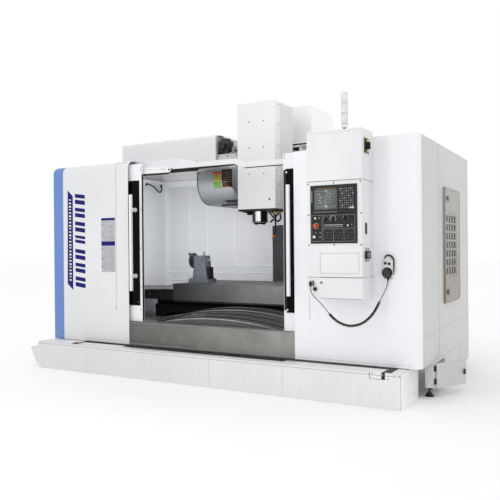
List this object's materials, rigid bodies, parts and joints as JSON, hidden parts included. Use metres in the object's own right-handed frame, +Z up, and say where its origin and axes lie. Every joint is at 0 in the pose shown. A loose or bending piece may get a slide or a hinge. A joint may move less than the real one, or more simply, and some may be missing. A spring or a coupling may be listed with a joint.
{
  "type": "cnc vertical machining center",
  "caption": "Enclosed vertical milling machine with a column and moving head, T-slotted cross table, sliding front doors, control cabinet, tool magazine cover and coolant tank.",
  "frame": {"origin": "on the floor, under the middle of the machine's footprint", "axes": "+X along the table towards the operator's right, +Y away from the operator towards the column, +Z up"},
  "size_m": [4.5787, 3.314, 3.029],
  "materials": {
    "white_paint": "smooth gloss powder coat",
    "grey_white_paint": "smooth powder coat",
    "warm_white_paint": "satin powder coat",
    "casting_paint": "rough painted casting",
    "bare_sheet": "stained bare sheet steel",
    "ground_iron": "machined grey iron, light stains",
    "dark_casting": "dark painted iron",
    "ground_steel": "ground steel",
    "way_cover_steel": "scratched sheet steel",
    "black_plastic": "fine-grained",
    "black_paint": "satin",
    "red_plastic": "gloss",
    "white_plastic": "gloss",
    "lens_plastic": "ribbed lens",
    "dark_glass": "smoked pane",
    "cord_rubber": "matt",
    "hose_plastic": "moulded segments"
  },
  "bodies": {
    "machine": {"machine_bed": "casting_paint", "levelling_feet": "black_paint", "column": "casting_paint", "front_cover_left": "grey_white_paint", "front_cover_right": "white_paint", "side_cover_left": "white_paint", "side_cover_right": "grey_white_paint", "chamber_walls": "white_paint", "chip_pan": "bare_sheet", "top_beam": "white_paint", "magazine_cover": "grey_white_paint", "magazine_housing": "warm_white_paint", "magazine_drive": "warm_white_paint", "axis_motors": "black_paint", "control_cabinet": "white_paint", "screen_unit": "black_plastic", "operator_panel": "black_plastic", "signal_tower": "lens_plastic", "cord_socket": "black_plastic", "column_top_cover": "warm_white_paint", "terminal_box": "grey_white_paint", "y_way_cover": "way_cover_steel", "z_way_cover": "way_cover_steel", "pendant_body": "white_plastic", "cord_tail_upper": "cord_rubber", "cord_coil": "cord_rubber", "cord_tail_lower": "cord_rubber"},
    "left_door": {"door_left": "white_paint", "door_window_left": "dark_glass", "door_handle_left": "white_paint"},
    "right_door": {"door_right": "white_paint", "door_window_right": "dark_glass", "door_handle_right": "white_paint"},
    "cross_slide": {"saddle": "dark_casting", "x_cover_left": "way_cover_steel", "x_cover_right": "way_cover_steel"},
    "work_table": {"table": "ground_iron", "tailstock_body": "ground_iron"},
    "quill": {"tailstock_quill": "ground_steel"},
    "handwheel": {"tailstock_handwheel": "ground_steel"},
    "x_screw": {"x_ball_screw": "ground_steel"},
    "y_screw": {"y_ball_screw": "ground_steel"},
    "z_screw": {"z_ball_screw": "ground_steel"},
    "head": {"head_casting": "casting_paint", "head_cover": "white_paint", "coolant_nozzles": "hose_plastic"},
    "main_spindle": {"spindle": "ground_steel"},
    "carousel": {"tool_carousel": "ground_steel"},
    "tank": {"coolant_tank": "white_paint"},
    "service_door": {"louvre_door": "white_paint"},
    "terminal_door": {"terminal_box_door": "grey_white_paint"},
    "stop_button": {"emergency_stop": "red_plastic"},
    "start_button": {"cycle_start_button": "white_plastic"},
    "mode_dial": {"mode_knob": "black_plastic"},
    "feed_dial": {"feed_knob": "black_plastic"},
    "spindle_dial": {"spindle_knob": "black_plastic"},
    "power_switch": {"main_switch": "black_plastic"},
    "hand_dial": {"pendant_dial": "black_plastic"},
    "axis_selector": {"pendant_axis_knob": "black_plastic"},
    "step_selector": {"pendant_step_knob": "black_plastic"}
  },
  "joints": [
    {"name": "left_door_slide", "type": "slide", "parent": "machine", "child": "left_door", "axis": [1, 0, 0], "range_m": [0, 0.843]},
    {"name": "right_door_slide", "type": "slide", "parent": "machine", "child": "right_door", "axis": [-1, 0, 0], "range_m": [0, 0.828]},
    {"name": "saddle_slide", "type": "slide", "parent": "machine", "child": "cross_slide", "axis": [0, 1, 0], "range_m": [-0.585, 0.29], "deforming": ["y_way_cover"]},
    {"name": "table_slide", "type": "slide", "parent": "cross_slide", "child": "work_table", "axis": [1, 0, 0], "range_m": [-0.85, 0.85], "deforming": ["x_cover_left", "x_cover_right"]},
    {"name": "head_slide", "type": "slide", "parent": "machine", "child": "head", "axis": [0, 0, 1], "range_m": [-0.5, 0.25], "deforming": ["z_way_cover"]},
    {"name": "spindle_turn", "type": "hinge", "parent": "head", "child": "main_spindle", "pos_m": [-0.042, -0.2395, 1.6], "axis": [0, 0, 1], "continuous": true},
    {"name": "x_screw_turn", "type": "hinge", "parent": "cross_slide", "child": "x_screw", "pos_m": [-0.042, -0.1015, 0.625], "axis": [1, 0, 0], "continuous": true},
    {"name": "y_screw_turn", "type": "hinge", "parent": "machine", "child": "y_screw", "pos_m": [-0.042, -0.3365, 0.35], "axis": [0, 1, 0], "continuous": true},
    {"name": "z_screw_turn", "type": "hinge", "parent": "machine", "child": "z_screw", "pos_m": [-0.042, 0.7635, 1.5], "axis": [0, 0, 1], "continuous": true},
    {"name": "handwheel_turn", "type": "hinge", "parent": "work_table", "child": "handwheel", "pos_m": [-1.012, -0.1665, 1.166], "axis": [1, 0, 0], "range_deg": [0, 4320]},
    {"name": "quill_slide", "type": "slide", "parent": "work_table", "child": "quill", "axis": [1, 0, 0], "range_m": [0, 0.0601]},
    {"name": "carousel_turn", "type": "hinge", "parent": "machine", "child": "carousel", "pos_m": [-0.842, 0.2885, 2.255], "axis": [1, 0, 0], "continuous": true},
    {"name": "tank_slide", "type": "slide", "parent": "machine", "child": "tank", "axis": [0, -1, 0], "range_m": [0, 0.8]},
    {"name": "service_door_hinge", "type": "hinge", "parent": "machine", "child": "service_door", "pos_m": [2.068, 0.1375, 1.3], "axis": [0, 0, 1], "range_deg": [0, 110]},
    {"name": "terminal_door_hinge", "type": "hinge", "parent": "machine", "child": "terminal_door", "pos_m": [2.091, -0.9835, 0.19], "axis": [0, 0, -1], "range_deg": [-28, 80]},
    {"name": "emergency_stop_push", "type": "slide", "parent": "machine", "child": "stop_button", "axis": [0, 1, 0], "range_m": [0, 0.006]},
    {"name": "cycle_start_push", "type": "slide", "parent": "machine", "child": "start_button", "axis": [0, 1, 0], "range_m": [0, 0.004], "stiffness_N_per_m": 400},
    {"name": "mode_knob_turn", "type": "hinge", "parent": "machine", "child": "mode_dial", "pos_m": [1.344, -1.6265, 1.55], "axis": [0, 1, 0], "range_deg": [-120, 120]},
    {"name": "feed_knob_turn", "type": "hinge", "parent": "machine", "child": "feed_dial", "pos_m": [1.41, -1.6265, 1.552], "axis": [0, 1, 0], "range_deg": [-150, 150]},
    {"name": "spindle_knob_turn", "type": "hinge", "parent": "machine", "child": "spindle_dial", "pos_m": [1.514, -1.6265, 1.556], "axis": [0, 1, 0], "range_deg": [-135, 135]},
    {"name": "main_switch_turn", "type": "hinge", "parent": "machine", "child": "power_switch", "pos_m": [1.673, -1.5145, 2.148], "axis": [1, 0, 0], "range_deg": [0, 90]},
    {"name": "hand_dial_turn", "type": "hinge", "parent": "machine", "child": "hand_dial", "pos_m": [1.79, -1.3765, 1.096], "axis": [0, -1, 0], "continuous": true},
    {"name": "axis_selector_turn", "type": "hinge", "parent": "machine", "child": "axis_selector", "pos_m": [1.776, -1.3765, 1.176], "axis": [0, -1, 0], "range_deg": [-60, 60]},
    {"name": "step_selector_turn", "type": "hinge", "parent": "machine", "child": "step_selector", "pos_m": [1.81, -1.3765, 1.172], "axis": [0, -1, 0], "range_deg": [-60, 60]}
  ],
  "couplings": [
    {"joint": "x_screw_turn", "follows": "table_slide", "rad_per_m": 523.6},
    {"joint": "y_screw_turn", "follows": "saddle_slide", "rad_per_m": 523.6},
    {"joint": "z_screw_turn", "follows": "head_slide", "rad_per_m": 523.6},
    {"joint": "quill_slide", "follows": "handwheel_turn", "m_per_rad": 0.00079577}
  ]
}
